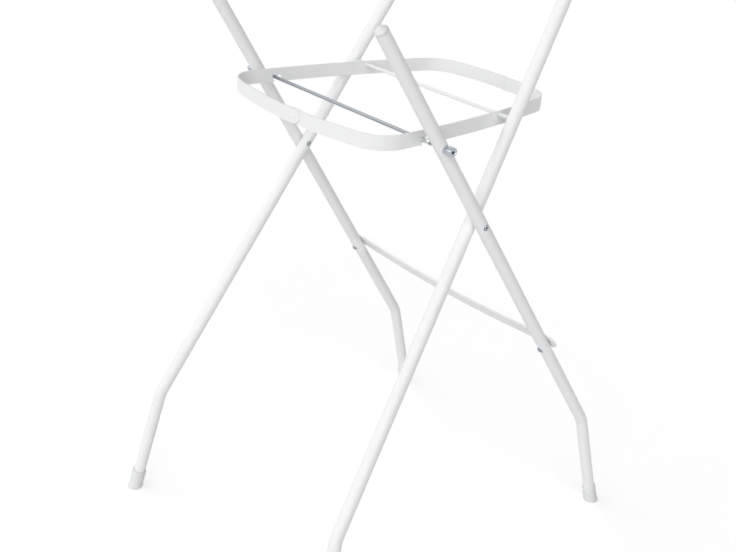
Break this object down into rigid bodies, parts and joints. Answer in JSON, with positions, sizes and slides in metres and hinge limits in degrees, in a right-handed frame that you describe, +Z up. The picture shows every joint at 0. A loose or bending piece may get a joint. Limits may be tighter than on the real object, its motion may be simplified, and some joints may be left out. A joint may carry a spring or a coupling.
{
  "type": "baby bath stand",
  "caption": "Folding baby bath stand: crossed white tube legs, a steel band ring that hooks on a cross rod, and a rear stretcher.",
  "frame": {"origin": "on the floor, under the middle of the stand", "axes": "+Z up, +X along the rods towards the right-hand frames, +Y across the stand towards the rear rod and the lower ends of the outer legs"},
  "size_m": [0.6164, 0.7408, 1.0213],
  "materials": {
    "white_coated_steel": "white powder coat, slightly glossy",
    "bare_zinc": "bright zinc plating",
    "dark_screw_steel": "plated screw steel, darker in the drive",
    "white_nylon": "plain white nylon",
    "white_plastic": "soft white plastic, matte"
  },
  "bodies": {
    "outer_frame": {"outer_leg_left": "white_coated_steel", "outer_leg_right": "white_coated_steel", "stretcher_strip": "white_coated_steel", "stretcher_screws": "dark_screw_steel", "front_rod": "bare_zinc", "barrel_nut_left": "bare_zinc", "barrel_nut_right": "bare_zinc", "front_rod_spacers": "bare_zinc", "pivot_screw_left": "dark_screw_steel", "pivot_screw_right": "dark_screw_steel", "pivot_nuts": "bare_zinc", "pivot_washers": "white_nylon", "outer_foot_cap_left": "white_plastic", "outer_foot_cap_right": "white_plastic", "outer_top_cap_left": "white_plastic", "outer_top_cap_right": "white_plastic"},
    "inner_frame": {"inner_leg_left": "white_coated_steel", "inner_leg_right": "white_coated_steel", "rear_rod": "white_coated_steel", "rear_rod_spacers": "white_nylon", "inner_foot_cap_left": "white_plastic", "inner_foot_cap_right": "white_plastic", "inner_top_cap_left": "white_plastic", "inner_top_cap_right": "white_plastic"},
    "ring": {"ring_half_left": "white_coated_steel", "ring_half_right": "white_coated_steel", "ring_rivets": "white_coated_steel"}
  },
  "joints": [
    {"name": "fold", "type": "hinge", "parent": "outer_frame", "child": "inner_frame", "pos_m": [0, 0, 0.675], "axis": [1, 0, 0], "range_deg": [0, 52]},
    {"name": "ring_swing", "type": "hinge", "parent": "inner_frame", "child": "ring", "pos_m": [0, 0.09482, 0.82327], "axis": [1, 0, 0], "range_deg": [-104, 0]}
  ],
  "couplings": [
    {"joint": "ring_swing", "follows": "fold", "ratio": -2}
  ]
}
